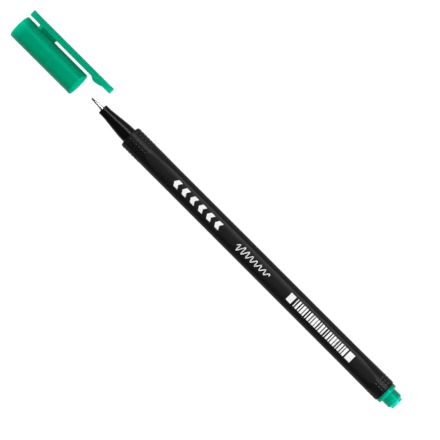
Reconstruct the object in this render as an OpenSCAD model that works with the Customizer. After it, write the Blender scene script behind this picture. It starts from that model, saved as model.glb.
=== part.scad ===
// Fineliner pen with its pull-off cap, drawn with the cap off and lying in line with the nib.
// Millimetres. The pen's axis is the X axis, the nib points to -X and the rear post to +X.
// The origin is on that axis at the root of the rear post, and +Z is up as the pen lies on a table.

/* [Barrel] */
// Length from the front shoulder to the rear end
barrel_l = 124.35; // [100:0.05:150]
// Diameter at the front shoulder
barrel_front_d = 8.4; // [8.1:0.01:8.6]
// Diameter at the rear end
barrel_rear_d = 8.53; // [8.1:0.01:8.7]
// Bore that holds the reservoir and both spigots
barrel_bore_d = 5.2; // [4.8:0.05:5.4]
// Radius on the two end edges
barrel_edge_r = 0.5; // [0.2:0.05:0.7]

/* [Facets] */
// Number of crowned facets round the barrel
facets = 3; // [2:1:4]
// Width of one facet at mid-length
facet_w = 5.3; // [4.4:0.1:5.8]
// Crown radius of a facet
facet_crown_r = 8; // [8:0.5:40]
// Turn of the facets about the axis, away from the clip
facet_turn = 3; // [0:0.5:60]
// Round length between the shoulder and the facets
facet_front_gap = 8.6; // [6:0.1:20]
// Round length between the facets and the rear end
facet_rear_gap = 4.9; // [4:0.1:20]
// Length of the curved run-out at the front of a facet
facet_front_run = 12; // [6:0.5:20]
// Length of the curved run-out at the rear of a facet
facet_rear_run = 10.6; // [6:0.1:20]

/* [Grip bumps] */
// Rings of bumps behind the shoulder
front_rings = 6; // [0:1:8]
// Rings of bumps before the rear end
rear_rings = 3; // [0:1:4]
// Bumps in one ring
bumps_around = 20; // [8:1:22]
// Distance from ring to ring
bump_pitch = 1.37; // [1.25:0.01:1.6]
// Diameter of a bump at its foot
bump_d = 0.95; // [0.6:0.01:1]
// Height of a bump over the barrel
bump_h = 0.12; // [0.08:0.01:0.2]
// Shoulder to the centre of the first ring
front_ring_gap = 1.2; // [1.1:0.05:2]
// Rear end to the centre of the last ring
rear_ring_gap = 1.4; // [1.1:0.05:2]

/* [Nose cone] */
// Length of the cone in front of the shoulder
nose_l = 13.36; // [11.5:0.02:20]
// Diameter of the round tip
nose_tip_d = 3.8; // [3:0.05:4.4]
// Length of the round tip
nose_tip_l = 1.7; // [0.5:0.1:3]
// Length of the straight stretch at the shoulder
nose_base_l = 0.6; // [0:0.1:2]
// Radius that leads from the tip into the cone
nose_neck_r = 11; // [5:0.5:14]
// Radius that leads from the cone into the base
nose_shoulder_r = 29; // [10:0.5:36]
// Length of the spigot pressed into the barrel
nose_spigot_l = 9; // [5:0.5:15]

/* [Nib] */
// Diameter of the writing point
nib_tip_d = 0.6; // [0.3:0.05:0.7]
// Length of the point beyond its sleeve
nib_out = 1.5; // [0.6:0.05:1.6]
// Diameter of the nib's core behind the point
nib_core_d = 1.3; // [1:0.05:1.5]
// How far the core reaches into the reservoir
nib_soak_l = 6; // [3:0.5:12]
// Wall of the drawn metal sleeve
sleeve_wall = 0.12; // [0.08:0.01:0.2]
// Length of the sleeve's thin tube
sleeve_tube_l = 1.75; // [1:0.05:3]
// Length of the sleeve's cone
sleeve_cone_l = 2.05; // [1:0.05:3]
// Length of the sleeve held in the nose
sleeve_shank_l = 6; // [3:0.5:8]

/* [Reservoir] */
// Thickness of the film round the ink-holding fibre rod
film_t = 0.07; // [0.05:0.01:0.1]

/* [Rear plug] */
// Step from the barrel's rear radius down to the collar
collar_step = 0.27; // [0.1:0.01:0.6]
// Length of the collar
collar_l = 1.5; // [0.8:0.1:3]
// Diameter of the post that a cap can be pushed on
post_d = 5.98; // [5.7:0.02:6.1]
// Length of the straight post
post_l = 3.2; // [2:0.1:6]
// Length of the bevel at the post's end
post_bevel_l = 0.65; // [0.5:0.05:2]
// Diameter of the end disc
plug_end_d = 4.6; // [3.6:0.05:5]
// Height of the end disc
plug_end_l = 0.65; // [0.1:0.05:1]
// Length of the spigot pressed into the barrel
plug_spigot_l = 8; // [4:0.5:12]

/* [Cap] */
// Outside diameter of the cap at its mouth
cap_d = 8.86; // [8.6:0.02:9.4]
// Outside diameter of the cap at its closed end
cap_end_d = 9; // [8.8:0.02:9.4]
// Length of the cap
cap_l = 29.1; // [25:0.1:32]
// Thickness of the closed end
cap_end_t = 1.5; // [1:0.1:3]
// Radius on the edge of the closed end
cap_end_edge_r = 0.4; // [0.2:0.05:1.2]
// Radius on the edge of the mouth
cap_mouth_edge_r = 0.25; // [0.2:0.05:0.6]
// Distance from the nib to the mouth with the cap off
cap_away = 6.6; // [1:0.1:60]

/* [Pocket clip] */
// Width of the clip
clip_w = 3.6; // [3:0.1:5]
// Thickness of the clip
clip_t = 2.27; // [1.4:0.01:2.6]
// Gap between clip and cap
clip_gap = 0.96; // [0.6:0.01:2]
// Length of the clip past the mouth
clip_reach = 9.8; // [8:0.05:14]
// Length of the clip past the closed end
clip_heel = 0; // [0:0.05:1]
// Radius on the clip's long edges
clip_edge_r = 0.4; // [0.2:0.05:0.6]
// Radius on the clip's ends, seen from the side
clip_end_r = 0.35; // [0.3:0.05:0.65]
// Mouth to the peak of the bead under the clip
bead_x = 3; // [2.4:0.1:4.5]
// Width of the bead
bead_w = 2.6; // [1.4:0.1:2.6]
// Length of the bead's steep side
bead_back_l = 1.95; // [1:0.05:2.3]
// Length of the bead's gentle side
bead_front_l = 3.2; // [2:0.05:4.5]
// Closed end to the wide bar of the bridge
bridge_x = 5.15; // [2:0.05:8]
// Length of the bridge's wide bar
bridge_bar_l = 1.1; // [0.6:0.1:3]
// Length of the bridge in all
bridge_l = 7.65; // [4:0.05:12]
// Width of the bridge's thin web
web_w = 1.8; // [1:0.1:2.4]

/* [Fits] */
// Radial gap between pieces pressed together
fit_gap = 0.02; // [0.01:0.005:0.03]
// Radial play of the reservoir in the barrel
reservoir_play = 0.05; // [0.02:0.01:0.2]
// Radial play of the cap on the rear post
cap_play = 0.05; // [0.03:0.01:0.1]
// Radial play of the cap on the nose
nose_play = 0.17; // [0.05:0.01:0.3]
// Gap that the clip's bead leaves over the grip bumps with the cap on
bead_play = 0.22; // [0.1:0.01:0.6]

/* [Hidden] */
round_fn = 96;
small_fn = 24;
arc_steps = 6;
run_steps = 9;
overrun = 1;

// Radii
front_r = barrel_front_d / 2;
rear_r = barrel_rear_d / 2;
bore_r = barrel_bore_d / 2;
spigot_r = bore_r - fit_gap;
post_r = post_d / 2;
cap_r = cap_d / 2;
cap_rest_r = cap_end_d / 2;
cap_bore_r = post_r + cap_play;
nose_base_r = cap_bore_r - nose_play;
film_r = bore_r - reservoir_play;
reservoir_r = film_r - film_t - fit_gap;
core_r = nib_core_d / 2;
core_bore_r = core_r + fit_gap;
shank_r = core_bore_r + sleeve_wall;
function barrel_r(x) = front_r + (rear_r - front_r) * (x - shoulder) / barrel_l;

// Places along the axis, from the rear end to the cap
rear_face = -collar_l;
shoulder = rear_face - barrel_l;
nose_front = shoulder - nose_l;
cone_front = nose_front - sleeve_cone_l;
sleeve_front = cone_front - sleeve_tube_l;
nib_front = sleeve_front - nib_out;
reservoir_front = shoulder + nose_spigot_l;
reservoir_rear = rear_face - plug_spigot_l;
mouth = nib_front - cap_away;
cap_end = mouth - cap_l;

// A facet is the near side of a wide round bar beside the axis, so its height follows from its width
middle_r = (front_r + rear_r) / 2;
facet_h = sqrt(pow(middle_r, 2) - pow(facet_w / 2, 2))
  + facet_crown_r - sqrt(pow(facet_crown_r, 2) - pow(facet_w / 2, 2));

// The clip's two faces and its bead, from the axis
clip_in = cap_r + clip_gap;
clip_out = clip_in + clip_t;
bead_in = front_r + bump_h + bead_play;

// Turn about the axis at which the cap and the clip's lower edge both rest on the table
edge_at = [clip_out - clip_edge_r, clip_w / 2 - clip_edge_r];
lie_turn = asin((cap_rest_r - clip_edge_r) / norm(edge_at)) - atan2(edge_at[1], edge_at[0]);

// Points of an arc about centre c from angle a to angle b
function arc(c, r, a, b) = [
  for (i = [0 : arc_steps])
    c + r * [cos(a + (b - a) * i / arc_steps), sin(a + (b - a) * i / arc_steps)]
];

// Outline of a rectangle from low to high with round corners
function round_box(low, high, r) = concat(
  arc([high[0] - r, high[1] - r], r, 0, 90),
  arc([low[0] + r, high[1] - r], r, 90, 180),
  arc([low[0] + r, low[1] + r], r, 180, 270),
  arc([high[0] - r, low[1] + r], r, 270, 360)
);

// A turned solid from points [radius, place along the axis]
module turned(points) {
  rotate([0, 90, 0]) rotate_extrude($fn = round_fn) polygon(points);
}

// A round bar or bore between two places on the axis
module bar(r, x1, x2) {
  translate([x1, 0, 0]) rotate([0, 90, 0]) cylinder(r = r, h = x2 - x1, $fn = round_fn);
}

// Turns a piece from its drawing position, clip towards +Y, to the way the pen lies
module lying() {
  rotate([-lie_turn, 0, 0]) children();
}

// Rise of a run-out at distance s past the facet's even part, on an arc that gains depth over run
function run_rise(s, run, depth) =
  let (r = (pow(run, 2) + pow(depth, 2)) / (2 * depth)) r - sqrt(pow(r, 2) - pow(s, 2));

// The wide round bar whose near side is the facet, flared at both ends
module facet_form() {
  front_l = facet_front_gap + facet_front_run;
  rear_l = facet_rear_gap + facet_rear_run;
  front_depth = barrel_r(shoulder + facet_front_gap) - facet_h;
  rear_depth = barrel_r(rear_face - facet_rear_gap) - facet_h;
  past = 2 * overrun;
  front = [
    for (i = [run_steps : -1 : 0])
      let (s = front_l * i / run_steps)
        [facet_crown_r + run_rise(s, facet_front_run, front_depth), shoulder + front_l - s]
  ];
  rear = [
    for (i = [0 : run_steps])
      let (s = rear_l * i / run_steps)
        [facet_crown_r + run_rise(s, facet_rear_run, rear_depth), rear_face - rear_l + s]
  ];
  translate([0, 0, facet_h - facet_crown_r]) turned(concat(
    [[0, shoulder - past], [front[0][0], shoulder - past]],
    front,
    rear,
    [[rear[run_steps][0], rear_face + past], [0, rear_face + past]]
  ));
}

// What one facet takes off the round barrel on its +Z side
module facet_cut() {
  top = max(front_r, rear_r) + overrun;
  low = facet_h - overrun;
  difference() {
    translate([shoulder - overrun, -top, low])
      cube([barrel_l + 2 * overrun, 2 * top, top - low]);
    facet_form();
  }
}

// One ring of flat-topped bumps with 45 degree sides on a round of radius r
module bump_ring(x, r) {
  for (i = [0 : bumps_around - 1])
    rotate([360 * (i + 0.5) / bumps_around, 0, 0]) translate([x, 0, r - bump_h])
      cylinder(d1 = bump_d + 2 * bump_h, d2 = bump_d - 2 * bump_h, h = 2 * bump_h, $fn = small_fn);
}

module barrel() {
  e = barrel_edge_r;
  outline = concat(
    [[0, shoulder]],
    arc([front_r - e, shoulder + e], e, -90, 0),
    arc([rear_r - e, rear_face - e], e, 0, 90),
    [[0, rear_face]]
  );
  color("#232325") lying() {
    rotate([facet_turn, 0, 0]) difference() {
      turned(outline);
      for (i = [0 : facets - 1]) rotate([360 * i / facets, 0, 0]) facet_cut();
      bar(bore_r, shoulder - overrun, rear_face + overrun);
    }
    for (i = [0 : 1 : front_rings - 1])
      let (x = shoulder + front_ring_gap + bump_pitch * i) bump_ring(x, barrel_r(x));
    for (i = [0 : 1 : rear_rings - 1])
      let (x = rear_face - rear_ring_gap - bump_pitch * i) bump_ring(x, barrel_r(x));
  }
}

// Slope of the cone that touches two arcs, of radii r in all, over length l and rise h
function cone_angle(l, h, r) =
  atan2(l, r - h) - acos(r / norm([l, r - h]));

module nose_cone() {
  tip_r = nose_tip_d / 2;
  tip_end = nose_front + nose_tip_l;
  base_start = shoulder - nose_base_l;
  slope = cone_angle(base_start - tip_end, nose_base_r - tip_r, nose_neck_r + nose_shoulder_r);
  hole_r = shank_r + fit_gap;
  hollow_r = (core_r + spigot_r) / 2;
  hole_end = nose_front + sleeve_shank_l + fit_gap;
  lead = nose_tip_l / 8;
  outline = concat(
    [[hole_r, nose_front], [tip_r - lead, nose_front], [tip_r, nose_front + lead]],
    arc([tip_r + nose_neck_r, tip_end], nose_neck_r, 180, 180 - slope),
    arc([nose_base_r - nose_shoulder_r, base_start], nose_shoulder_r, -slope, 0),
    [[nose_base_r, shoulder], [spigot_r, shoulder], [spigot_r, reservoir_front]],
    [[hollow_r, reservoir_front], [hollow_r, hole_end + hollow_r], [hole_r, hole_end]]
  );
  color("#161617") lying() turned(outline);
}

module nib_sleeve() {
  tube_bore_r = nib_tip_d / 2 + fit_gap;
  tube_r = tube_bore_r + sleeve_wall;
  shank_end = nose_front + sleeve_shank_l;
  color("silver") lying() turned([
    [tube_bore_r, sleeve_front], [tube_r, sleeve_front], [tube_r, cone_front],
    [shank_r, nose_front], [shank_r, shank_end], [core_bore_r, shank_end],
    [core_bore_r, nose_front], [tube_bore_r, cone_front]
  ]);
}

module nib() {
  tip_r = nib_tip_d / 2;
  core_end = reservoir_front + nib_soak_l;
  color("#101011") lying() turned(concat(
    [[0, nib_front]],
    arc([0, nib_front + tip_r], tip_r, -90 + 90 / arc_steps, 0),
    [[tip_r, cone_front], [core_r, nose_front], [core_r, core_end - core_r], [0, core_end]]
  ));
}

module ink_reservoir() {
  color("#4fae8f") lying() difference() {
    bar(reservoir_r, reservoir_front + fit_gap, reservoir_rear - fit_gap);
    bar(core_bore_r, reservoir_front - overrun, reservoir_front + nib_soak_l + fit_gap);
  }
}

module reservoir_film() {
  color("#d9e4e2") lying() difference() {
    bar(film_r, reservoir_front + fit_gap, reservoir_rear - fit_gap);
    bar(film_r - film_t, reservoir_front - overrun, reservoir_rear + overrun);
  }
}

module rear_plug() {
  collar_r = rear_r - collar_step;
  end_r = plug_end_d / 2;
  lead = collar_l / 4;
  disc_x = post_l + post_bevel_l;
  hollow_r = spigot_r - (collar_r - post_r);
  color("#00b88c") lying() turned([
    [hollow_r, reservoir_rear], [spigot_r, reservoir_rear], [spigot_r, rear_face],
    [collar_r - lead, rear_face], [collar_r, rear_face + lead], [collar_r, -lead],
    [collar_r - lead, 0], [post_r, 0], [post_r, post_l],
    [end_r, disc_x], [end_r, disc_x + plug_end_l], [0, disc_x + plug_end_l],
    [0, post_l - hollow_r / 2], [hollow_r / 2, post_l - hollow_r / 2], [hollow_r, post_l - hollow_r]
  ]);
}

// A block of the bridge between cap and clip, measured from the closed end
module bridge_block(w, x, l) {
  translate([cap_end + x, 0, -w / 2]) cube([l, clip_in, w]);
}

module cap() {
  wall = cap_r - cap_bore_r;
  bore_end = cap_end + cap_end_t;
  lead = wall / 6;
  outline = concat(
    [[0, cap_end]],
    arc([cap_rest_r - cap_end_edge_r, cap_end + cap_end_edge_r], cap_end_edge_r, -90, 0),
    arc([cap_r - cap_mouth_edge_r, mouth - cap_mouth_edge_r], cap_mouth_edge_r, 0, 90),
    [[cap_bore_r + lead, mouth], [cap_bore_r, mouth - lead]],
    arc([cap_bore_r - wall, bore_end + wall], wall, 0, -90),
    [[0, bore_end]]
  );
  color("#00a67c") lying() {
    turned(outline);
    difference() {
      union() {
        bridge_block(clip_w, bridge_x, bridge_bar_l);
        bridge_block(web_w, bridge_x + bridge_bar_l / 2, bridge_l - bridge_bar_l / 2);
      }
      bar((cap_bore_r + cap_r) / 2, cap_end - overrun, mouth + overrun);
    }
  }
}

// Bead on the clip's inner face: its steep side rises on a sine, its gentle side falls on a power
module bead() {
  fall_share = 1.4;
  peak = mouth + bead_x;
  h = clip_in - bead_in;
  root = clip_in + clip_t / 4;
  back = [
    for (i = [0 : arc_steps])
      let (t = i / arc_steps) [peak - bead_back_l * (1 - t), clip_in - h * sin(90 * t)]
  ];
  front = [
    for (i = [1 : arc_steps])
      let (t = i / arc_steps) [peak + bead_front_l * t, clip_in - h * (1 - pow(t, fall_share))]
  ];
  translate([0, 0, -bead_w / 2]) linear_extrude(bead_w)
    polygon(concat([[peak - bead_back_l, root]], back, front, [[peak + bead_front_l, root]]));
}

// The bar is what its side view, its plan and its cross-section have in common
module pocket_clip() {
  heel = cap_end - clip_heel;
  toe = mouth + clip_reach;
  half_w = clip_w / 2;
  color("#00ad82") lying() {
    intersection() {
      translate([0, 0, -half_w]) linear_extrude(clip_w)
        polygon(round_box([heel, clip_in], [toe, clip_out], clip_end_r));
      rotate([-90, 0, 0]) linear_extrude(clip_out + overrun)
        polygon(round_box([heel, -half_w], [toe, half_w], half_w / 2));
      translate([heel - overrun, 0, 0]) rotate([90, 0, 90]) linear_extrude(toe - heel + 2 * overrun)
        polygon(round_box([clip_in, -half_w], [clip_out, half_w], clip_edge_r));
    }
    bead();
  }
}

barrel();
nose_cone();
nib_sleeve();
nib();
ink_reservoir();
reservoir_film();
rear_plug();
cap();
pocket_clip();
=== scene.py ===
# A fineliner pen lying with its cap off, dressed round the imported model. Lengths of the pieces and the
# camera are in millimetres, those of the table and the lamps in metres. X runs from nib to rear post.
import math
import bpy
import numpy as np
from mathutils import Matrix, Vector


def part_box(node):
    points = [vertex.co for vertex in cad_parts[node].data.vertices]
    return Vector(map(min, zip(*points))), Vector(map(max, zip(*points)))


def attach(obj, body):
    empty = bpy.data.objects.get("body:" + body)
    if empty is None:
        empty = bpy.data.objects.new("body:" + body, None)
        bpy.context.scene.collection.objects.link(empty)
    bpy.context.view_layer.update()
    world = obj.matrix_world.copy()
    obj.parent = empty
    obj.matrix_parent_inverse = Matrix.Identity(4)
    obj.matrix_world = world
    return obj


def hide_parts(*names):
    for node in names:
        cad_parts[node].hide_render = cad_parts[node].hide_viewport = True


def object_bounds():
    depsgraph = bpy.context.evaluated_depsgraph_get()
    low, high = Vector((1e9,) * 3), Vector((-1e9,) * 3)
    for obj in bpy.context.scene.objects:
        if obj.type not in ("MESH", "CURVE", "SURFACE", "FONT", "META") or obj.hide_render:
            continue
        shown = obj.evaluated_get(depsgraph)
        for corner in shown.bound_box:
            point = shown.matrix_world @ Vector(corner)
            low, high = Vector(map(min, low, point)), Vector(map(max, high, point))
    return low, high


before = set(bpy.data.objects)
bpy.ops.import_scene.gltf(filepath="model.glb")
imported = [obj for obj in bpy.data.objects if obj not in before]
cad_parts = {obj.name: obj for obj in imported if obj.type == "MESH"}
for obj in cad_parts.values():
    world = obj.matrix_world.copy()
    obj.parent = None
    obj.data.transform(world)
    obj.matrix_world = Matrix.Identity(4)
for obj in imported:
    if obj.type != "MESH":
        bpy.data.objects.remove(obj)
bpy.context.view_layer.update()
print("frame loaded:", ", ".join(sorted(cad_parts)))

mm = 0.001
sharpAngle = 34  # degrees between two faces past which their edge stays crisp
paintedDarkReach = 3.4  # how far behind the point the sleeve carries a painted dark reflection


def alongAxis(node):
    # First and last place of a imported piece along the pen
    low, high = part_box(node)
    return low.x / mm, high.x / mm


shoulder, rearFace = alongAxis("barrel")
noseFront, spigotEnd = alongAxis("nose_cone")
sleeveFront, shankEnd = alongAxis("nib_sleeve")
nibFront, nibEnd = alongAxis("nib")
plugStart, plugEnd = alongAxis("rear_plug")
capEnd, mouth = alongAxis("cap")
clipHeel, clipToe = alongAxis("pocket_clip")

# Sizes that more than one piece shares
shared = dict(boreRadius=2.6, fitGap=0.02, capRadius=4.43, capRest=4.5, capBore=3.04, clipGap=0.96,
              clipThick=2.27, clipHalfWidth=1.8, clipEdge=0.4, coreRadius=0.65, sleeveWall=0.12)
spigotRadius = shared["boreRadius"] - shared["fitGap"]
clipInner = shared["capRadius"] + shared["clipGap"]
clipOuter = clipInner + shared["clipThick"]

# The pen lies turned about its axis so that the cap and the clip's lower edge both touch the table
edgeY, edgeZ = clipOuter - shared["clipEdge"], shared["clipHalfWidth"] - shared["clipEdge"]
lieTurn = (math.asin((shared["capRest"] - shared["clipEdge"]) / math.hypot(edgeY, edgeZ))
           - math.atan2(edgeZ, edgeY))
clipWay = Vector((0, math.cos(lieTurn), -math.sin(lieTurn)))
facingWay = Vector((0, math.sin(lieTurn), math.cos(lieTurn)))


def layDown(points):
    # Turns points from the drawing position, clip towards +Y, to the way the pen lies
    x, y, z = points.T
    return np.column_stack([x, y * clipWay.y + z * facingWay.y, y * clipWay.z + z * facingWay.z])


def gridFaces(rows, columns, closedRows=False, closedColumns=True):
    # Quads between neighbours of a grid of points that is stored row by row
    row = np.arange(rows if closedRows else rows - 1)[:, None]
    column = np.arange(columns if closedColumns else columns - 1)[None]
    nextRow, nextColumn = (row + 1) % rows, (column + 1) % columns
    corners = [row * columns + column, row * columns + nextColumn,
               nextRow * columns + nextColumn, nextRow * columns + column]
    return np.stack(corners, -1).reshape(-1, 4)


def fanFaces(pole, first, columns, turn):
    # Triangles from one pole to the ring of points that starts at first
    column = np.arange(columns)
    ring = [first + column, first + (column + 1) % columns][::turn]
    return np.stack([np.full(columns, pole), *ring], -1)


def facesOutward(points, faces):
    # Six times the volume is the sum of a . (b x c) over all triangles, below zero when they face inward
    total = 0
    for block in faces:
        for k in range(1, block.shape[1] - 1):
            a, b, c = points[block[:, 0]], points[block[:, k]], points[block[:, k + 1]]
            total += np.sum(a * np.cross(b, c))
    return total > 0


def makePiece(name, points, faces, look, body, slot, stands=None):
    # One finished piece: points in the drawing position, faces as blocks of triangles or quads
    points = layDown(points) * mm
    if not facesOutward(points, faces):
        faces = [block[:, ::-1] for block in faces]
    mesh = bpy.data.meshes.new(name)
    mesh.from_pydata(points.tolist(), [], [face for block in faces for face in block.tolist()])
    mesh.materials.append(look)
    mesh.shade_smooth()
    mesh.set_sharp_from_angle(angle=math.radians(sharpAngle))
    piece = bpy.data.objects.new(name, mesh)
    bpy.context.collection.objects.link(piece)
    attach(piece, body)
    if stands:
        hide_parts(stands)
    print("made", name, "with", len(mesh.polygons), "faces")


def arcPoints(x, r, radius, start, end, steps=10):
    # Points (x, r) on a circle between two angles in degrees
    angle = np.radians(np.linspace(start, end, steps))
    return np.column_stack([x + radius * np.cos(angle), r + radius * np.sin(angle)])


def roundCorners(corners, steps=6):
    # Each corner (x, r, radius) gives way to an arc that touches both of its sides
    spots = np.array([corner[:2] for corner in corners], float)
    outline = []
    for i, (x, r, radius) in enumerate(corners):
        if radius == 0:
            outline.append(spots[i][None])
            continue
        before = spots[i - 1] - spots[i]
        after = spots[(i + 1) % len(spots)] - spots[i]
        before, after = before / np.linalg.norm(before), after / np.linalg.norm(after)
        half = math.acos(np.clip(before @ after, -1, 1)) / 2
        middle = (before + after) / np.linalg.norm(before + after)
        aside = (after - before) / np.linalg.norm(after - before)
        swing = (np.linspace(-1, 1, steps + 1) * (math.pi / 2 - half))[:, None]
        centre = spots[i] + middle * radius / math.sin(half)
        outline.append(centre + radius * (np.sin(swing) * aside - np.cos(swing) * middle))
    return np.concatenate(outline)


def revolve(outline, columns=128):
    # The point (x, r) at angle a goes to (x, r cos a, r sin a); an outline that starts and ends on the
    # axis gets a pole at each end, and any other one is closed into a ring
    rings = outline[outline[:, 1] > 0]
    poles = outline[outline[:, 1] <= 0]
    angle = 2 * np.pi * np.arange(columns) / columns
    x, r = rings[:, :1], rings[:, 1:]
    points = np.stack([x + 0 * angle, r * np.cos(angle), r * np.sin(angle)], -1).reshape(-1, 3)
    faces = [gridFaces(len(rings), columns, closedRows=len(poles) == 0)]
    if len(poles):
        tips = np.column_stack([poles[[0, -1], 0], [0, 0], [0, 0]])
        count = len(points)
        faces += [fanFaces(count, 0, columns, -1), fanFaces(count + 1, count - columns, columns, 1)]
        points = np.concatenate([points, tips])
    return points, faces


def roundedOutline(halfWide, halfTall, corner, steps):
    # The two sides' offsets of a rectangle's outline from its centre, each corner an arc of that many points
    turn = np.radians(np.arange(4)[:, None] * 90 + np.linspace(0, 90, steps)).reshape(1, -1)
    signs = np.repeat([[1, -1, -1, 1], [1, 1, -1, -1]], steps, axis=1)
    return (signs[0] * (halfWide - corner) + corner * np.cos(turn),
            signs[1] * (halfTall - corner) + corner * np.sin(turn))


def loft(sections):
    # A skin over a row of closed sections, each an array of points, with both ends closed
    stations, columns, _ = sections.shape
    count = stations * columns
    points = np.concatenate([sections.reshape(-1, 3), sections[[0, -1]].mean(1)])
    faces = [gridFaces(stations, columns), fanFaces(count, 0, columns, -1),
             fanFaces(count + 1, count - columns, columns, 1)]
    return points, faces


def join(parts):
    # Several meshes as one list of points and faces
    starts = np.cumsum([0] + [len(points) for points, _ in parts])
    faces = [block + start for (_, blocks), start in zip(parts, starts) for block in blocks]
    return np.concatenate([points for points, _ in parts]), faces


# Materials

def put(tree, kind, inputs=None, **settings):
    # A new shader node; an input is a plain value or the socket that feeds it
    made = tree.nodes.new("ShaderNode" + kind)
    for key, value in settings.items():
        setattr(made, key, value)
    for key, value in (inputs or {}).items():
        if isinstance(value, bpy.types.NodeSocket):
            tree.links.new(value, made.inputs[key])
        else:
            made.inputs[key].default_value = value
    return made


def calc(tree, operation, first, second, clamped=False):
    # One step of arithmetic on plain numbers or sockets
    return put(tree, "Math", {0: first, 1: second}, operation=operation, use_clamp=clamped).outputs[0]


def mixColours(tree, mask, first, second):
    # First where the mask is zero and second where it is one; each is a socket or three numbers.
    # The node's sockets for colours are 6 and 7, and 2 on its way out.
    first, second = (value if isinstance(value, bpy.types.NodeSocket) else (*value, 1)
                     for value in (first, second))
    return put(tree, "Mix", {0: mask, 6: first, 7: second}, data_type="RGBA").outputs[2]


def newGroup(name, inputs, outputs):
    # An empty node group with its sockets, its input node and its output node
    tree = bpy.data.node_groups.new(name, "ShaderNodeTree")
    for label, kind, value in inputs:
        socket = tree.interface.new_socket(label, in_out="INPUT", socket_type="NodeSocket" + kind)
        socket.default_value = value
    for label, kind in outputs:
        tree.interface.new_socket(label, in_out="OUTPUT", socket_type="NodeSocket" + kind)
    return tree, tree.nodes.new("NodeGroupInput"), tree.nodes.new("NodeGroupOutput")


def inMillimetres(tree, stretch=(1, 1, 1)):
    # Object coordinates in millimetres, turned so that the clip's side is +Y, then stretched
    place = put(tree, "TexCoord").outputs["Object"]
    turned = put(tree, "Mapping", {"Vector": place, "Rotation": (lieTurn, 0, 0)}).outputs[0]
    scale = tuple(share / mm for share in stretch)
    return put(tree, "VectorMath", {0: turned, 1: scale}, operation="MULTIPLY").outputs[0]


def buildMouldedSkin():
    # Moulded plastic: fine grain and a slow waviness in the normal, and a patchy roughness
    tree, given, out = newGroup("mouldedSkin", [
        ("Grain Scale", "Float", 6.0), ("Grain Depth", "Float", 1.0), ("Wave Depth", "Float", 1.0),
        ("Rough Low", "Float", 0.3), ("Rough High", "Float", 0.4)], [
        ("Roughness", "Float"), ("Normal", "Vector"), ("Patches", "Float")])
    place = inMillimetres(tree)
    slow = inMillimetres(tree, (0.25, 1, 1))
    grain = put(tree, "TexNoise", {"Vector": place, "Scale": given.outputs["Grain Scale"], "Detail": 3.0,
                                   "Roughness": 0.6})
    wave = put(tree, "TexNoise", {"Vector": slow, "Scale": 0.55, "Detail": 1.0})
    patches = put(tree, "TexNoise", {"Vector": slow, "Scale": 1.4, "Detail": 4.0, "Roughness": 0.6})
    waved = put(tree, "Bump", {"Strength": given.outputs["Wave Depth"], "Distance": 0.012 * mm,
                               "Height": wave.outputs["Fac"]})
    grained = put(tree, "Bump", {"Strength": given.outputs["Grain Depth"], "Distance": 0.0016 * mm,
                                 "Height": grain.outputs["Fac"], "Normal": waved.outputs[0]})
    spread = put(tree, "MapRange", {
        "Value": patches.outputs["Fac"], "From Min": 0.3, "From Max": 0.7,
        "To Min": given.outputs["Rough Low"], "To Max": given.outputs["Rough High"]})
    tree.links.new(spread.outputs[0], out.inputs["Roughness"])
    tree.links.new(grained.outputs[0], out.inputs["Normal"])
    tree.links.new(patches.outputs["Fac"], out.inputs["Patches"])
    return tree


def buildHandlingMarks():
    # Faint hairlines from handling: thin bright crests of two stretched noises, broken up by a third
    tree, given, out = newGroup("handlingMarks", [("Amount", "Float", 0.5)], [("Marks", "Float")])
    noises = [put(tree, "TexNoise", {"Vector": inMillimetres(tree, stretch), "Scale": scale, "Detail": 2.0})
              for stretch, scale in (((0.06, 1, 1), 7.0), ((1, 0.3, 0.3), 5.0), ((1, 1, 1), 0.5))]
    lines = [put(tree, "MapRange", {"Value": noise.outputs["Fac"], "From Min": 0.66, "From Max": 0.74})
             for noise in noises[:2]]
    patch = put(tree, "MapRange", {"Value": noises[2].outputs["Fac"], "From Min": 0.45, "From Max": 0.65})
    both = calc(tree, "MAXIMUM", lines[0].outputs[0], lines[1].outputs[0])
    shown = calc(tree, "MULTIPLY", both, patch.outputs[0])
    tree.links.new(calc(tree, "MULTIPLY", shown, given.outputs["Amount"]), out.inputs["Marks"])
    return tree


def buildPaintedEndLight():
    # Painted light at a piece's ends, standing in for light that shines through thin clear-bodied plastic:
    # full at a place along the pen, nothing past its reach
    tree, given, out = newGroup("paintedEndLight", [("Place", "Float", 0.0), ("Reach", "Float", 1.0)],
                                [("Glow", "Float")])
    x = put(tree, "SeparateXYZ", {0: inMillimetres(tree)}).outputs["X"]
    away = calc(tree, "SUBTRACT", x, given.outputs["Place"])
    far = put(tree, "Math", {0: away}, operation="ABSOLUTE").outputs[0]
    glow = put(tree, "MapRange", {"Value": far, "From Min": given.outputs["Reach"], "From Max": 0.0},
               interpolation_type="SMOOTHSTEP")
    tree.links.new(glow.outputs[0], out.inputs["Glow"])
    return tree


mouldedSkin = buildMouldedSkin()
handlingMarks = buildHandlingMarks()
paintedEndLight = buildPaintedEndLight()


def glowAt(tree, place, reach):
    # The mask of the painted end light at one place along the pen, also used as a plain mask that fades with
    # distance
    return put(tree, "Group", {"Place": place, "Reach": reach}, node_tree=paintedEndLight).outputs[0]


def newMaterial(name):
    # A material with one Principled shader, ready for its textures
    look = bpy.data.materials.new(name)
    look.use_nodes = True
    tree = look.node_tree
    tree.nodes.clear()
    shader = tree.nodes.new("ShaderNodeBsdfPrincipled")
    end = tree.nodes.new("ShaderNodeOutputMaterial")
    tree.links.new(shader.outputs[0], end.inputs[0])
    return look, tree, shader


scuffTone = dict(gain=1.6, lift=0.01)  # how much paler a hairline is than the plastic
paintedBoreGlow = dict(full=0.15, none=0.45, dullLip=0.4)  # how deep in the wall the painted glow of the bore shows, and the dull lip's reach


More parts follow.
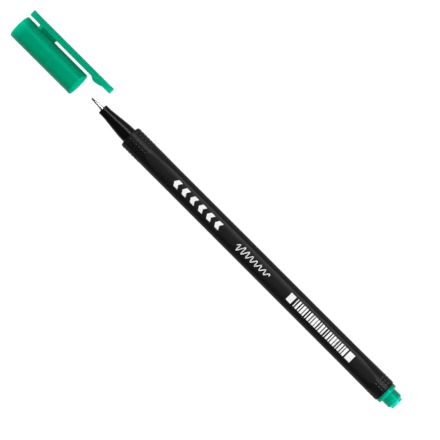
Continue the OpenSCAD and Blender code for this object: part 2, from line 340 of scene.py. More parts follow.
def plasticLook(name, dark, light, grain, marks, fixed, pale=None, ends=(), inside=None):
    # Moulded plastic from the shared groups: dark and light are the two ends of its colour, and marks is
    # how strongly its hairlines show. Pale is the colour of the painted light at its ends, each with its
    # place, its reach and how much of pale it shows. Inside is a painted glow, an emission in the wall of a
    # bore for
    # light that would come through it: its colour, its place, its reach and the bore's radius. The lip of
    # such a bore is dull.
    look, tree, shader = newMaterial(name)
    for key, value in fixed.items():
        shader.inputs[key].default_value = value
    skin = put(tree, "Group", grain, node_tree=mouldedSkin)
    scuffs = put(tree, "Group", {"Amount": marks}, node_tree=handlingMarks).outputs[0]
    colour = mixColours(tree, skin.outputs["Patches"], dark, light)
    paler = [part * scuffTone["gain"] + scuffTone["lift"] for part in light]
    colour = mixColours(tree, scuffs, colour, paler)
    # painted light: each end's mask blends in the pale colour
    for place, reach, share in ends:
        colour = mixColours(tree, calc(tree, "MULTIPLY", glowAt(tree, place, reach), share), colour, pale)
    rough = calc(tree, "ADD", skin.outputs["Roughness"], scuffs, clamped=True)
    if inside:
        # painted glow: an emission in the wall round the bore near its mouth
        glow, place, reach, radius = inside
        across = put(tree, "VectorMath", {0: inMillimetres(tree), 1: (0, 1, 1)}, operation="MULTIPLY")
        far = put(tree, "VectorMath", {0: across.outputs[0]}, operation="LENGTH").outputs["Value"]
        wall = put(tree, "MapRange", {"Value": far, "From Min": radius + paintedBoreGlow["none"],
                                      "From Max": radius + paintedBoreGlow["full"]}).outputs[0]
        lit = calc(tree, "MULTIPLY", glowAt(tree, place, reach), wall)
        tree.links.new(mixColours(tree, lit, (0, 0, 0), glow), shader.inputs["Emission Color"])
        shader.inputs["Emission Strength"].default_value = 1
        rough = calc(tree, "ADD", rough, glowAt(tree, place, paintedBoreGlow["dullLip"]), clamped=True)
    tree.links.new(colour, shader.inputs["Base Color"])
    tree.links.new(rough, shader.inputs["Roughness"])
    tree.links.new(skin.outputs["Normal"], shader.inputs["Normal"])
    return look


def drawnSteelLook():
    # Bright steel with fine lines round the axis from drawing, darker behind the point by a painted dark
    # reflection
    look, tree, shader = newMaterial("drawnSteel")
    shader.inputs["Metallic"].default_value = 1
    shader.inputs["Specular Tint"].default_value = (0.05, 0.05, 0.05, 1)
    place = inMillimetres(tree, (1, 0.04, 0.04))
    lines = put(tree, "TexNoise", {"Vector": place, "Scale": 8.0, "Detail": 1.0})
    rough = put(tree, "MapRange", {"Value": lines.outputs["Fac"], "To Min": 0.12, "To Max": 0.18})
    steel = mixColours(tree, lines.outputs["Fac"], (0.4, 0.4, 0.4), (0.48, 0.48, 0.48))
    relief = put(tree, "Bump", {"Strength": 0.2, "Distance": 0.0003 * mm, "Height": lines.outputs["Fac"]})
    # painted dark reflection: the steel colour darkens towards the point
    darkened = mixColours(tree, glowAt(tree, sleeveFront, paintedDarkReach), steel, (0.12, 0.12, 0.125))
    tree.links.new(darkened, shader.inputs["Base Color"])
    tree.links.new(rough.outputs[0], shader.inputs["Roughness"])
    tree.links.new(relief.outputs[0], shader.inputs["Normal"])
    return look


def fibreLook():
    # Ink-soaked fibre rod: fine strands along the pen in darker and lighter ink
    look, tree, shader = newMaterial("inkFibre")
    place = inMillimetres(tree, (0.08, 1, 1))
    strands = put(tree, "TexNoise", {"Vector": place, "Scale": 9.0, "Detail": 5.0})
    tone = mixColours(tree, strands.outputs["Fac"], (0.008, 0.1, 0.06), (0.05, 0.32, 0.22))
    relief = put(tree, "Bump", {"Distance": 0.02 * mm, "Height": strands.outputs["Fac"]})
    shader.inputs["Roughness"].default_value = 0.85
    tree.links.new(tone, shader.inputs["Base Color"])
    tree.links.new(relief.outputs[0], shader.inputs["Normal"])
    return look


def printLook():
    # White pad print: nearly even, with a slight grain where the ink lies thinner
    look, tree, shader = newMaterial("whitePrint")
    grain = put(tree, "TexNoise", {"Vector": inMillimetres(tree), "Scale": 9.0, "Detail": 3.0})
    tone = mixColours(tree, grain.outputs["Fac"], (0.8, 0.8, 0.8), (0.93, 0.93, 0.93))
    relief = put(tree, "Bump", {"Strength": 0.4, "Distance": 0.002 * mm, "Height": grain.outputs["Fac"]})
    shader.inputs["Roughness"].default_value = 0.5
    tree.links.new(tone, shader.inputs["Base Color"])
    tree.links.new(relief.outputs[0], shader.inputs["Normal"])
    return look


barrelBlack = (0.0044, 0.0044, 0.0047), (0.006, 0.006, 0.0063)
blackBarrel = plasticLook(
    "blackBarrel", *barrelBlack,
    {"Grain Scale": 7.0, "Grain Depth": 1.0, "Wave Depth": 0.5, "Rough Low": 0.38, "Rough High": 0.44},
    0.1, {"Specular IOR Level": 0.065})
wornBumps = plasticLook(
    "wornBumps", *barrelBlack,
    {"Grain Scale": 7.0, "Grain Depth": 0.5, "Wave Depth": 0.0, "Rough Low": 0.3, "Rough High": 0.36},
    0.1, {"Specular IOR Level": 0.075})
glossBumps = plasticLook(
    "glossBumps", *barrelBlack,
    {"Grain Scale": 7.0, "Grain Depth": 0.3, "Wave Depth": 0.0, "Rough Low": 0.2, "Rough High": 0.24},
    0.1, {"Specular IOR Level": 0.13})
blackNose = plasticLook(
    "blackNose", (0.0035, 0.0035, 0.0037), (0.005, 0.005, 0.0052),
    {"Grain Scale": 5.0, "Grain Depth": 0.4, "Wave Depth": 0.3, "Rough Low": 0.12, "Rough High": 0.16},
    0.06, {"Specular IOR Level": 0.05})
blackNib = plasticLook(
    "blackNib", (0.003, 0.003, 0.003), (0.006, 0.006, 0.006),
    {"Grain Scale": 14.0, "Grain Depth": 2.0, "Wave Depth": 0.0, "Rough Low": 0.5, "Rough High": 0.65},
    0.0, {"Specular IOR Level": 0.04})
greenBody = {"Specular IOR Level": 0.1, "Specular Tint": (0.0, 1.0, 0.68, 1.0), "Subsurface Weight": 0.2,
             "Subsurface Radius": (0.1, 1.0, 0.7), "Subsurface Scale": 1.2 * mm}
greenGrain = {"Grain Scale": 5.0, "Grain Depth": 0.3, "Wave Depth": 0.3,
              "Rough Low": 0.32, "Rough High": 0.4}
# The pale green of the painted light at the ends of cap and clip
paintedEndGreen = (0.0, 0.62, 0.36)
# The cap's paler closed end and mouth are painted light, and the glow inside its bore is painted light too
greenCap = plasticLook(
    "greenCap", (0.0, 0.33, 0.168), (0.0, 0.365, 0.189), greenGrain, 0.08, greenBody,
    pale=paintedEndGreen, ends=((capEnd, 4.2, 0.7), (capEnd, 1.7, 0.95), (mouth, 1.1, 0.85)),
    inside=((0.0, 0.25, 0.15), mouth, 4, shared["capBore"]))
# Painted light: a brighter copy of the cap's green for the bar, which faces the light
litBarGreen = plasticLook(
    "litBarGreen", (0.0, 0.46, 0.24), (0.0, 0.5, 0.27), greenGrain, 0.05, greenBody)
# The clip's paler heel and toe are painted light, standing in for light shining through its thin ends
greenClip = plasticLook(
    "greenClip", (0.0, 0.365, 0.188), (0.0, 0.4, 0.21), greenGrain, 0.03, greenBody, pale=paintedEndGreen,
    ends=((clipHeel, 6.0, 0.3), (clipHeel, 1.8, 0.7), (clipToe, 14.0, 0.28), (clipToe, 3.0, 0.75)))
# Painted shade: a darker copy of the green for the recessed web, where shade falls between cap and clip
shadedWebGreen = plasticLook(
    "shadedWebGreen", (0.0, 0.165, 0.085), (0.0, 0.19, 0.1), greenGrain, 0.05, greenBody)
collarRim = -0.35  # the place where the collar's rounded edge begins; a painted highlight makes it paler
# The plug's paler parts are painted light: a painted highlight on the collar's edge and painted light along
# the post to the end disc
greenPlug = plasticLook(
    "greenPlug", (0.0, 0.295, 0.152), (0.0, 0.33, 0.173),
    {"Grain Scale": 5.0, "Grain Depth": 0.6, "Wave Depth": 0.4, "Rough Low": 0.25, "Rough High": 0.31},
    0.08, {**greenBody, "Specular IOR Level": 0.22},
    pale=(0.0, 0.92, 0.76), ends=((collarRim, 0.7, 0.35), (plugEnd, 5.0, 0.25), (plugEnd, 1.5, 1.0)))
clearFilm = plasticLook(
    "clearFilm", (0.68, 0.74, 0.73), (0.78, 0.83, 0.82),
    {"Grain Scale": 3.0, "Grain Depth": 0.3, "Wave Depth": 2.0, "Rough Low": 0.14, "Rough High": 0.22},
    0.0, {"Specular IOR Level": 0.5})
drawnSteel = drawnSteelLook()
inkFibre = fibreLook()
whitePrint = printLook()
print("materials made")


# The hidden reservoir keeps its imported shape

for nodeName, nodeLook in (("ink_reservoir", inkFibre), ("reservoir_film", clearFilm)):
    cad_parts[nodeName].data.materials.clear()
    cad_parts[nodeName].data.materials.append(nodeLook)


# Barrel

barrelSize = dict(frontRadius=4.2, rearRadius=4.265, edge=0.5, boreEdge=0.12, facets=3, facetWidth=5.3,
                  crown=8, facetTurn=3, frontGap=8.6, rearGap=4.9, frontRun=12, rearRun=10.6, crease=0.03,
                  creaseTurn=2.4, leastTurn=9)


def barrelRadius(x):
    share = (x - shoulder) / (rearFace - shoulder)
    return barrelSize["frontRadius"] + (barrelSize["rearRadius"] - barrelSize["frontRadius"]) * share


halfFacet = barrelSize["facetWidth"] / 2
middleRadius = (barrelSize["frontRadius"] + barrelSize["rearRadius"]) / 2
facetHeight = (math.sqrt(middleRadius ** 2 - halfFacet ** 2) + barrelSize["crown"]
               - math.sqrt(barrelSize["crown"] ** 2 - halfFacet ** 2))
crownCentre = barrelSize["crown"] - facetHeight


def runOut(past, run, depth):
    # Rise of a circle that gains depth over run, at each distance past the facet's even part
    radius = (run ** 2 + depth ** 2) / (2 * depth)
    past = np.clip(past, 0, 2 * run)
    return radius - np.sqrt(radius ** 2 - past ** 2)


def barrelStations():
    # Places along the barrel, close together on the rounded ends and where the facets run out: near and
    # clear are where the close spacing at a facet's tip ends and the wide one beyond it starts
    size = barrelSize
    front = arcPoints(shoulder + size["edge"], size["frontRadius"] - size["edge"], size["edge"], 180, 90, 9)
    rear = arcPoints(rearFace - size["edge"], size["rearRadius"] - size["edge"], size["edge"], 90, 0, 9)
    tipOne, tipTwo = shoulder + size["frontGap"], rearFace - size["rearGap"]
    easing = np.linspace(0, 1, 64) ** 1.5
    near, clear = 0.3, 0.4
    places = np.concatenate([
        np.linspace(front[-1, 0], tipOne - clear, 7)[1:], np.linspace(tipOne - near, tipOne, 5)[:-1],
        tipOne + size["frontRun"] * easing,
        np.linspace(tipOne + size["frontRun"], tipTwo - size["rearRun"], 40)[1:-1],
        tipTwo - size["rearRun"] * easing[::-1],
        np.linspace(tipTwo, tipTwo + near, 5)[1:], np.linspace(tipTwo + clear, rear[0, 0], 5)[:-1]])
    middle = np.column_stack([places, barrelRadius(places)])
    return np.concatenate([front, middle, rear])


def buildBarrel():
    # At place x and angle a from a facet's middle the radius is the lower of the round tube and the crown,
    # a circle of radius R about a point c below the axis: sqrt(R^2 - c^2 sin^2 a) - c cos a.
    # The crown grows at both ends by the run-out's rise, and the crease between the two is softened.
    size = barrelSize
    stations = barrelStations()
    x, tube = stations[:, :1], stations[:, 1:]
    tipOne, tipTwo = shoulder + size["frontGap"], rearFace - size["rearGap"]
    depthOne, depthTwo = barrelRadius(tipOne) - facetHeight, barrelRadius(tipTwo) - facetHeight
    rise = (runOut(tipOne + size["frontRun"] - x, size["frontRun"], depthOne)
            + runOut(x - tipTwo + size["rearRun"], size["rearRun"], depthTwo))
    crown = size["crown"] + rise
    cosEdge = (crown ** 2 - tube ** 2 - crownCentre ** 2) / (2 * tube * crownCentre)
    sector = math.pi / size["facets"]
    slim, least = math.radians(size["creaseTurn"]), math.radians(size["leastTurn"])
    edge = np.maximum(np.arccos(np.clip(cosEdge, -1, 1)), least)
    flank = edge - slim + (np.linspace(0, 1, 13)[1:] * 2 * slim)
    half = np.concatenate([np.linspace(0, 1, 15) * (edge - slim), flank,
                           edge + slim + np.linspace(0, 1, 8)[1:] * (sector - edge - slim)], 1)
    swing = np.concatenate([-half[:, :0:-1], half[:, :-1]], 1)
    crowned = np.sqrt(crown ** 2 - (crownCentre * np.sin(swing)) ** 2) - crownCentre * np.cos(swing)
    near = np.maximum(size["crease"] - np.abs(crowned - tube), 0)
    radius = np.minimum(crowned, tube) - near ** 2 / (4 * size["crease"])
    turns = 2 * sector * np.arange(size["facets"]) - math.radians(size["facetTurn"])
    angle = (swing[:, None] + turns[:, None]).reshape(len(x), -1)
    radius = np.tile(radius, size["facets"])
    bore, lip = shared["boreRadius"], size["boreEdge"]
    inside = [(rearFace, bore + lip), (rearFace - lip, bore),
              (shoulder + lip, bore), (shoulder, bore + lip)]
    x = np.concatenate([x + 0 * angle] + [np.full((1, angle.shape[1]), place) for place, _ in inside])
    radius = np.concatenate([radius] + [np.full((1, angle.shape[1]), r) for _, r in inside])
    angle = np.concatenate([angle, np.repeat(angle[-1:], len(inside), 0)])
    points = np.stack([x, radius * np.sin(angle), radius * np.cos(angle)], -1).reshape(-1, 3)
    return points, [gridFaces(*x.shape, closedRows=True)]


makePiece("barrelShell", *buildBarrel(), blackBarrel, "pen", "black_barrel", "barrel")


# Grip bumps

bumpSize = dict(around=20, frontRings=6, rearRings=3, pitch=1.37, frontGap=1.2, rearGap=1.4, radius=0.5,
                height=0.12, foot=0.06, fall=2.4, sides=14)
frontRings = shoulder + bumpSize["frontGap"] + bumpSize["pitch"] * np.arange(bumpSize["frontRings"])
rearRings = rearFace - bumpSize["rearGap"] - bumpSize["pitch"] * np.arange(bumpSize["rearRings"])


def buildBumps(rings):
    # A bump is a low dome on a foot inside the barrel: height times 1 - t^fall at the share t of its radius
    size = bumpSize
    share = np.array([0.3, 0.55, 0.75, 0.88, 0.96, 1.0, 1.0])[:, None]
    lift = size["height"] * (1 - share ** size["fall"])
    lift[-1] = -size["foot"]
    turn = 2 * np.pi * np.arange(size["sides"]) / size["sides"]
    along = size["radius"] * share * np.cos(turn)
    across = size["radius"] * share * np.sin(turn)
    dome = np.stack([along, across, lift + 0 * turn], -1).reshape(-1, 3)
    dome = np.concatenate([dome, [[0, 0, size["height"]], [0, 0, -size["foot"]]]])
    count = share.size * turn.size
    faces = [gridFaces(share.size, turn.size), fanFaces(count, 0, turn.size, -1),
             fanFaces(count + 1, count - turn.size, turn.size, 1)]
    angles = 2 * np.pi * (np.arange(size["around"]) + 0.5) / size["around"]
    x, angle = (grid.reshape(-1, 1) for grid in np.meshgrid(rings, angles, indexing="ij"))
    high = barrelRadius(x) + dome[:, 2]
    swing = angle + dome[:, 1] / barrelRadius(x)
    points = np.stack([x + dome[:, 0], high * np.sin(swing), high * np.cos(swing)], -1).reshape(-1, 3)
    shift = (np.arange(len(x)) * len(dome))[:, None, None]
    return points, [(block[None] + shift).reshape(-1, block.shape[1]) for block in faces]


makePiece("frontBumps", *buildBumps(frontRings), wornBumps, "pen", "black_barrel")
makePiece("rearBumps", *buildBumps(rearRings), glossBumps, "pen", "black_barrel")


# Nose cone

noseSize = dict(tipRadius=1.9, tipLength=1.7, baseRadius=2.87, baseLength=0.6, neck=11, shoulder=29,
                lead=0.2, holeEdge=0.06, shankLength=6)
shankRadius = shared["coreRadius"] + shared["fitGap"] + shared["sleeveWall"]


def buildNose():
    # The outline runs from a round tip through a neck arc, a cone that touches both arcs and a shoulder arc
    size = noseSize
    tipEnd, baseStart = noseFront + size["tipLength"], shoulder - size["baseLength"]
    length, rise = baseStart - tipEnd, size["baseRadius"] - size["tipRadius"]
    radii = size["neck"] + size["shoulder"]
    slope = math.degrees(math.atan2(length, radii - rise)
                         - math.acos(radii / math.hypot(length, radii - rise)))
    hole = shankRadius + shared["fitGap"]
    hollow = (shared["coreRadius"] + spigotRadius) / 2
    holeEnd = noseFront + size["shankLength"] + shared["fitGap"]
    front = roundCorners([(noseFront, hole, size["holeEdge"]), (noseFront, size["tipRadius"], size["lead"]),
                          (tipEnd, size["tipRadius"], 0)])[:-1]
    neck = arcPoints(tipEnd, size["tipRadius"] + size["neck"], size["neck"], -90, -90 + slope)
    cone = arcPoints(baseStart, size["baseRadius"] - size["shoulder"], size["shoulder"], 90 + slope, 90, 14)
    back = [(shoulder, size["baseRadius"]), (shoulder, spigotRadius), (spigotEnd, spigotRadius),
            (spigotEnd, hollow), (holeEnd + hollow, hollow), (holeEnd, hole)]
    return revolve(np.concatenate([front, neck, cone, back]))


makePiece("noseCone", *buildNose(), blackNose, "pen", "black_nose", "nose_cone")


# Nib and its sleeve

nibSize = dict(tipRadius=0.3, tubeLength=1.75, edge=0.035, flare=0.9, root=0.5)
coneFront = sleeveFront + nibSize["tubeLength"]


def buildSleeve():
    # A thin tube that flares into a cone and runs on as a shank inside the nose
    bore = nibSize["tipRadius"] + shared["fitGap"]
    tube, core = bore + shared["sleeveWall"], shared["coreRadius"] + shared["fitGap"]
    edge = nibSize["edge"]
    return revolve(roundCorners([
        (sleeveFront, bore, edge), (sleeveFront, tube, edge), (coneFront, tube, nibSize["flare"]),
        (noseFront, shankRadius, nibSize["root"]), (shankEnd, shankRadius, edge), (shankEnd, core, edge),
        (noseFront, core, 0), (coneFront, bore, 0)], 5), 64)


def buildNib():
    # A round-ended point whose core thickens behind the sleeve's cone
    tip, core = nibSize["tipRadius"], shared["coreRadius"]
    front = arcPoints(nibFront + tip, 0, tip, 180, 90, 8)
    back = [(coneFront, tip), (noseFront, core), (nibEnd - core, core), (nibEnd, 0)]
    front[0, 1] = 0
    return revolve(np.concatenate([front, back]), 48)


makePiece("nibSleeve", *buildSleeve(), drawnSteel, "pen", "steel_sleeve", "nib_sleeve")
makePiece("nibPoint", *buildNib(), blackNib, "pen", "black_nib", "nib")


# Rear plug

plugSize = dict(collarStep=0.27, collarEdge=0.36, postRadius=2.99, postLength=3.2, postFoot=0.12,
                bevelEdge=0.5, bevelLength=0.65, discFoot=0.06, endRadius=2.3, endEdge=0.12, spigotEdge=0.2,
                hollowEdge=0.1, hollowTurn=0.3, hollowTip=0.2)


def buildPlug():
    # Collar, post, bevel and end disc in one outline, hollow from the spigot's end
    size = plugSize
    collar, post = barrelSize["rearRadius"] - size["collarStep"], size["postRadius"]
    hollow = spigotRadius - (collar - post)
    bevelEnd, hollowEnd = size["postLength"] + size["bevelLength"], size["postLength"] - hollow / 2
    return revolve(roundCorners([
        (plugEnd, 0, 0), (plugEnd, size["endRadius"], size["endEdge"]),
        (bevelEnd, size["endRadius"], size["discFoot"]), (size["postLength"], post, size["bevelEdge"]),
        (0, post, size["postFoot"]), (0, collar, size["collarEdge"]),
        (rearFace, collar, size["collarEdge"]), (rearFace, spigotRadius, 0),
        (plugStart, spigotRadius, size["spigotEdge"]),
        (plugStart, hollow, size["hollowEdge"]), (size["postLength"] - hollow, hollow, size["hollowTurn"]),
        (hollowEnd, hollow / 2, size["hollowTip"]), (hollowEnd, 0, 0)], 7))


makePiece("rearPlug", *buildPlug(), greenPlug, "pen", "green_plug", "rear_plug")


# Cap and the bridge that carries its clip

capSize = dict(endThick=1.5, endEdge=0.4, mouthEdge=0.25, mouthLead=0.2, boreEndGap=0.05)
bridgeSize = dict(start=5.15, barLength=1.1, length=7.65, webHalf=0.9, fillet=0.28, corner=0.18,
                  intoCap=0.5, intoClip=0.25, footSink=0.02)


def buildCap():
    # A blind sleeve, a little wider at its closed end; the bore ends in a rounded bottom
    size, outer, bore = capSize, shared["capRadius"], shared["capBore"]
    wall, inner = outer - bore, capEnd + size["endThick"]
    return revolve(roundCorners([
        (capEnd, 0, 0), (capEnd, shared["capRest"], size["endEdge"]), (mouth, outer, size["mouthEdge"]),
        (mouth, bore, size["mouthLead"]), (inner, bore, wall - size["boreEndGap"]), (inner, 0, 0)], 9), 160)


def flaredBlock(start, end, half):
    # An upright block between cap and clip whose section grows along a quarter circle at both ends
    size = bridgeSize
    low, high = shared["capRadius"] - size["intoCap"], clipInner + size["intoClip"]
    foot, head = shared["capRadius"] - size["footSink"], clipInner
    level = np.concatenate([[low], foot + size["fillet"] * np.linspace(0, 1, 7) ** 2,
                            head - size["fillet"] * np.linspace(1, 0, 7) ** 2, [high]])
    reach = np.minimum(np.minimum(level - foot, head - level), size["fillet"]) / size["fillet"]
    flare = size["fillet"] * (1 - np.sqrt(1 - (1 - np.clip(reach, 0, 1)) ** 2))
    x, z = roundedOutline((end - start) / 2 + flare[:, None], half + flare[:, None], size["corner"], 6)
    return loft(np.stack([(start + end) / 2 + x, level[:, None] + 0 * x, z], -1))


def buildBar():
    # The crossbar at the end of the bridge that is nearer the cap's closed end, as wide as the clip
    size, start = bridgeSize, capEnd + bridgeSize["start"]
    return flaredBlock(start, start + size["barLength"], shared["clipHalfWidth"] - size["fillet"])


def buildWeb():
    # The thin wall that runs on from the middle of the bar
    size, start = bridgeSize, capEnd + bridgeSize["start"]
    return flaredBlock(start + size["barLength"] / 2, start + size["length"], size["webHalf"])


makePiece("capShell", *buildCap(), greenCap, "cap", "green_cap", "cap")
makePiece("clipBar", *buildBar(), litBarGreen, "cap", "green_cap")
makePiece("clipWeb", *buildWeb(), shadedWebGreen, "cap", "green_cap")


# Pocket clip

clipSize = dict(planEnd=0.9, sideEnd=0.35, heelRise=0.15, heelLength=2.2, toeRise=0.09, toeLength=2.4)
beadSize = dict(peak=3.0, back=1.95, front=3.2, inner=4.54, halfWidth=1.3, narrowing=0.25, corner=0.3,
                fall=1.4)


def endRound(distance, radius):
    # How far a rounded end still stands back at each distance from it
    inside = np.clip(radius - distance, 0, radius)
    return radius - np.sqrt(radius ** 2 - inside ** 2)


def roundedSections(x, low, high, half, corner):
    # One rounded rectangle for each station, between two heights and as wide as twice half
    y, z = roundedOutline((high - low) / 2, half, corner, 8)
    return np.stack([x + 0 * y, (low + high) / 2 + y, z], -1)


def buildClip():
    # Rounded rectangles along the clip, drawn in at both ends in plan and in side view
    size = clipSize
    ease = size["planEnd"] * (1 - np.cos(np.radians(np.linspace(0, 90, 16))))
    middle = np.linspace(clipHeel + size["planEnd"], clipToe - size["planEnd"], 90)[1:-1]
    x = np.concatenate([clipHeel + ease, middle, clipToe - ease[::-1]])[:, None]
    fromEnd = np.minimum(x - clipHeel, clipToe - x)
    half = shared["clipHalfWidth"] - endRound(fromEnd, size["planEnd"])
    drawnIn = endRound(fromEnd, size["sideEnd"])
    heel = size["heelRise"] * np.clip(1 - (x - clipHeel) / size["heelLength"], 0, 1) ** 2
    toe = size["toeRise"] * np.clip(1 - (clipToe - x) / size["toeLength"], 0, 1) ** 2
    return loft(roundedSections(x, clipInner + drawnIn, clipOuter - drawnIn + heel + toe, half,
                                np.minimum(shared["clipEdge"], half / 2)))


def buildBead():
    # The bead's back rises on a sine and its front falls on a power of the distance from the peak
    size = beadSize
    share = np.linspace(0, 1, 22)
    peak, height = mouth + size["peak"], clipInner - size["inner"]
    x = np.concatenate([peak - size["back"] * (1 - share), peak + size["front"] * share[1:]])[:, None]
    rise = np.concatenate([np.sin(share * np.pi / 2), 1 - share[1:] ** size["fall"]])[:, None] * height
    root = clipInner + shared["clipThick"] / 4
    corner = np.minimum(size["corner"], (root - clipInner + rise) * 0.45)  # under half of its height
    half = size["halfWidth"] - size["narrowing"] * (1 - np.sqrt(np.clip(rise / height, 0, 1)))
    return loft(roundedSections(x, clipInner - rise, root + 0 * x, half, corner))


makePiece("pocketClip", *buildClip(), greenClip, "cap", "green_cap", "pocket_clip")
makePiece("clipBead", *buildBead(), greenClip, "cap", "green_cap")


# White prints on the facet that faces the camera

printSize = dict(lift=0.014, sink=0.03)


def printSlabs(patches):
    # A patch is a grid of places (x, w) on the facet, w towards the clip. Each becomes a thin slab that
    # follows the crown: height = sqrt(R^2 - w^2) less the centre's depth, plus the lift on top and less the
    # sink below. Then it takes the facet's turn about the axis.
    turn = math.radians(barrelSize["facetTurn"])
    parts = []
    for patch in patches:
        rows, columns, _ = patch.shape
        x, w = patch[..., 0].reshape(-1), patch[..., 1].reshape(-1)
        high = np.sqrt(barrelSize["crown"] ** 2 - w ** 2) - crownCentre
        count = rows * columns
        index = np.arange(count).reshape(rows, columns)
        border = np.concatenate([index[0], index[1:, -1], index[-1, -2::-1], index[-2:0:-1, 0]])
        after = np.roll(border, -1)
        top = gridFaces(rows, columns, closedColumns=False)
        x, w = np.tile(x, 2), np.tile(w, 2)
        high = np.concatenate([high + printSize["lift"], high - printSize["sink"]])
        points = np.column_stack([x, w * math.cos(turn) - high * math.sin(turn),
                                  w * math.sin(turn) + high * math.cos(turn)])
        side = np.stack([border, after, after + count, border + count], -1)
        parts.append((points, [top, top[:, ::-1] + count, side[:, ::-1]]))
    return join(parts)


def block(start, end, low, high, across=10):
    # A plain rectangle of the facet as a patch
    return np.stack(np.meshgrid([start, end], np.linspace(low, high, across), indexing="ij"), -1)


chevronSize = dict(start=-103.65, count=6, pitch=3.98, stroke=1.85, slant=0.62, low=-1.22, high=1.54)


def chevrons():
    # Arrowheads towards the nib: x = start + slant times the distance from the middle + stroke times t
    size = chevronSize
    w = np.linspace(size["low"], size["high"], 25)[None]
    lean = size["slant"] * abs(w - (size["low"] + size["high"]) / 2)
    t = np.array([[0.0], [1.0]])
    return [np.stack([size["start"] + i * size["pitch"] + lean + size["stroke"] * t, w + 0 * t], -1)
            for i in range(size["count"])]


waveSize = dict(start=-73.0, end=-57.6, middle=-0.1, waves=7.5, high=1.75, low=0.75, fade=3, onset=14,
                slant=0.3, stroke=0.3)


def waveLine():
    # A pen stroke: w = a(t) sin(2 pi n t) with an amplitude that falls along the line, slanted forward
    size = waveSize
    t = np.linspace(0, 1, 420)
    swell = size["low"] + (size["high"] - size["low"]) * np.exp(-size["fade"] * t)
    w = swell * np.sin(2 * np.pi * size["waves"] * t) * np.minimum(1, size["onset"] * t)
    x = size["start"] + (size["end"] - size["start"]) * t + size["slant"] * w
    path = np.column_stack([x, w + size["middle"]])
    way = np.gradient(path, axis=0)
    way /= np.linalg.norm(way, axis=1, keepdims=True)
    aside = np.column_stack([-way[:, 1], way[:, 0]])
    share = np.array([-0.5, 0.5]) * size["stroke"]
    return [path[:, None] + aside[:, None] * share[:, None]]


stripeSize = dict(start=-48.02, end=-17.34, frontBlock=2.3, rearBlock=2.45, low=-1.51, high=1.59, bars=22,
                  widest=0.92, thinnest=0.3, step=0.618)


def stripes():
    # A block at each end and, between them, bars at an even pitch whose widths vary with the part of
    # i times the golden step that is past the whole number
    size = stripeSize
    first, last = size["start"] + size["frontBlock"], size["end"] - size["rearBlock"]
    pitch = (last - first) / (size["bars"] + 1)
    patches = [block(size["start"], first, size["low"], size["high"]),
               block(last, size["end"], size["low"], size["high"])]
    for i in range(size["bars"]):
        width = pitch * (size["thinnest"] + (size["widest"] - size["thinnest"]) * (i * size["step"] % 1))
        middle = first + pitch * (i + 1)
        patches.append(block(middle - width / 2, middle + width / 2, size["low"], size["high"]))
    return patches


prints = {"chevronPrint": chevrons(), "wavePrint": waveLine(), "stripePrint": stripes()}
for printName, patches in prints.items():
    makePiece(printName, *printSlabs(patches), whitePrint, "pen", "white_print")


# Table, lights and camera

studio = dict(table=1.6, tableGap=0.00006, floorColour=0.18, floorGlow=0.92, worldLight=0.03, ceiling=0.1,
              horizon=0.2, overhead=0.45)
lamps = {
    "mainLight": dict(side=-6, end=0, distance=0.8, long=1.1, wide=0.4, radiance=3.4, gloss=False),
    "glintLight": dict(side=32, end=0, distance=0.7, long=1.1, wide=0.2, radiance=20, matte=False),
    "sparkLight": dict(side=-14, end=3, distance=0.7, long=0.06, wide=0.06, radiance=58, matte=False),
    "coneLight": dict(side=48, end=-17, distance=0.7, long=0.35, wide=0.15, radiance=13, matte=False),
    "rearLight": dict(side=0, end=65, distance=0.7, long=0.4, wide=0.4, radiance=6, gloss=False),
    "frontLight": dict(side=0, end=-65, distance=0.7, long=0.3, wide=0.3, radiance=4.2, gloss=False)}


def rayMask(tree):
    # One for rays from the camera, mirrors and clear stuff, nothing for the light that reaches the object
    path = put(tree, "LightPath")
    mirror = calc(tree, "MAXIMUM", path.outputs["Is Camera Ray"], path.outputs["Is Glossy Ray"])
    return calc(tree, "MAXIMUM", mirror, path.outputs["Is Transmission Ray"])


def buildTable():
    half = studio["table"] / 2
    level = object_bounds()[0].z - studio["tableGap"]
    corners = [(-half, -half, level), (half, -half, level), (half, half, level), (-half, half, level)]
    mesh = bpy.data.meshes.new("table")
    mesh.from_pydata(corners, [], [(0, 1, 2, 3)])
    look = bpy.data.materials.new("paleTable")
    look.use_nodes = True
    tree = look.node_tree
    tree.nodes.clear()
    matte = put(tree, "BsdfDiffuse", {"Color": (*[studio["floorColour"]] * 3, 1)})
    shine = put(tree, "Emission", {"Strength": calc(tree, "MULTIPLY", rayMask(tree), studio["floorGlow"])})
    both = put(tree, "AddShader", {0: matte.outputs[0], 1: shine.outputs[0]})
    put(tree, "OutputMaterial", {"Surface": both.outputs[0]})
    mesh.materials.append(look)
    table = bpy.data.objects.new("table", mesh)
    bpy.context.collection.objects.link(table)


def buildWorld():
    # White up to a little above the horizon and a dim ceiling over it, and an even light for matte surfaces
    world = bpy.data.worlds.new("studio")
    world.use_nodes = True
    tree = world.node_tree
    tree.nodes.clear()
    way = put(tree, "TexCoord").outputs["Generated"]
    height = put(tree, "SeparateXYZ", {0: way}).outputs["Z"]
    seen = put(tree, "MapRange", {
        "Value": height, "From Min": studio["horizon"], "From Max": studio["overhead"], "To Min": 1.0,
        "To Max": studio["ceiling"]}, interpolation_type="SMOOTHSTEP")
    strength = put(tree, "Mix", {0: rayMask(tree), 2: studio["worldLight"], 3: seen.outputs[0]})
    back = put(tree, "Background", {"Color": (1, 1, 1, 1), "Strength": strength.outputs[0]})
    put(tree, "OutputWorld", {"Surface": back.outputs[0]})
    bpy.context.scene.world = world


cameraSize = dict(aimAlong=-83.28, aimAcross=1.594, distance=813, aside=39, pixel=0.345, pixels=440,
                  sensor=36, roll=45)
penWay = Vector((1, 0, 0))
aim = (penWay * cameraSize["aimAlong"] + clipWay * cameraSize["aimAcross"]) * mm


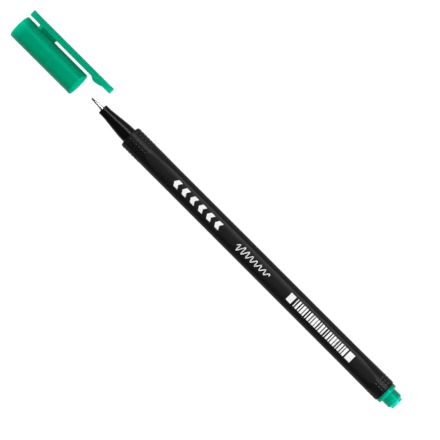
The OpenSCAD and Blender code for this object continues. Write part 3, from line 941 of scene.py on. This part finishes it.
def softbox(name, side, end, distance, long, wide, radiance, matte=True, gloss=True):
    # A rectangular lamp; side is its angle from the camera towards the clip and end its angle towards the
    # rear. Matte says that it lights surfaces, and gloss that it shows in them as a reflection.
    lamp = bpy.data.lights.new(name, "AREA")
    lamp.shape = "RECTANGLE"
    lamp.size, lamp.size_y = long, wide
    lamp.energy = radiance * math.pi * long * wide
    side, end = math.radians(side), math.radians(end)
    way = (facingWay * math.cos(side) + clipWay * math.sin(side)) * math.cos(end) + penWay * math.sin(end)
    across = way.cross(penWay).normalized()
    along = across.cross(way).normalized()
    spot = aim + way * distance
    light = bpy.data.objects.new(name, lamp)
    light.visible_diffuse, light.visible_glossy = matte, gloss
    light.matrix_world = Matrix(((along.x, across.x, way.x, spot.x), (along.y, across.y, way.y, spot.y),
                                 (along.z, across.z, way.z, spot.z), (0, 0, 0, 1)))
    bpy.context.collection.objects.link(light)


def buildCamera():
    # Stands nearly square to the facet with the prints, over the rear half of the pen, and looks at the
    # middle of cap and pen; the picture is turned so that the pen runs down to the right
    spot = aim + (facingWay * cameraSize["distance"] + penWay * cameraSize["aside"]) * mm
    back = (spot - aim).normalized()
    along = clipWay.cross(back).normalized()
    data = bpy.data.cameras.new("camera")
    data.sensor_width = cameraSize["sensor"]
    seenWidth = cameraSize["pixel"] * cameraSize["pixels"] * mm
    data.lens = cameraSize["sensor"] * (spot - aim).length / seenWidth
    data.clip_start, data.clip_end = 0.01, 10
    roll = math.radians(cameraSize["roll"])
    right = along * math.cos(roll) + clipWay * math.sin(roll)
    up = clipWay * math.cos(roll) - along * math.sin(roll)
    camera = bpy.data.objects.new("camera", data)
    camera.matrix_world = Matrix(((right.x, up.x, back.x, spot.x), (right.y, up.y, back.y, spot.y),
                                  (right.z, up.z, back.z, spot.z), (0, 0, 0, 1)))
    bpy.context.collection.objects.link(camera)
    bpy.context.scene.camera = camera


buildTable()
buildWorld()
for lampName, lampSize in lamps.items():
    softbox(lampName, **lampSize)
buildCamera()
bpy.context.scene.view_settings.view_transform = "Standard"
print("studio built")
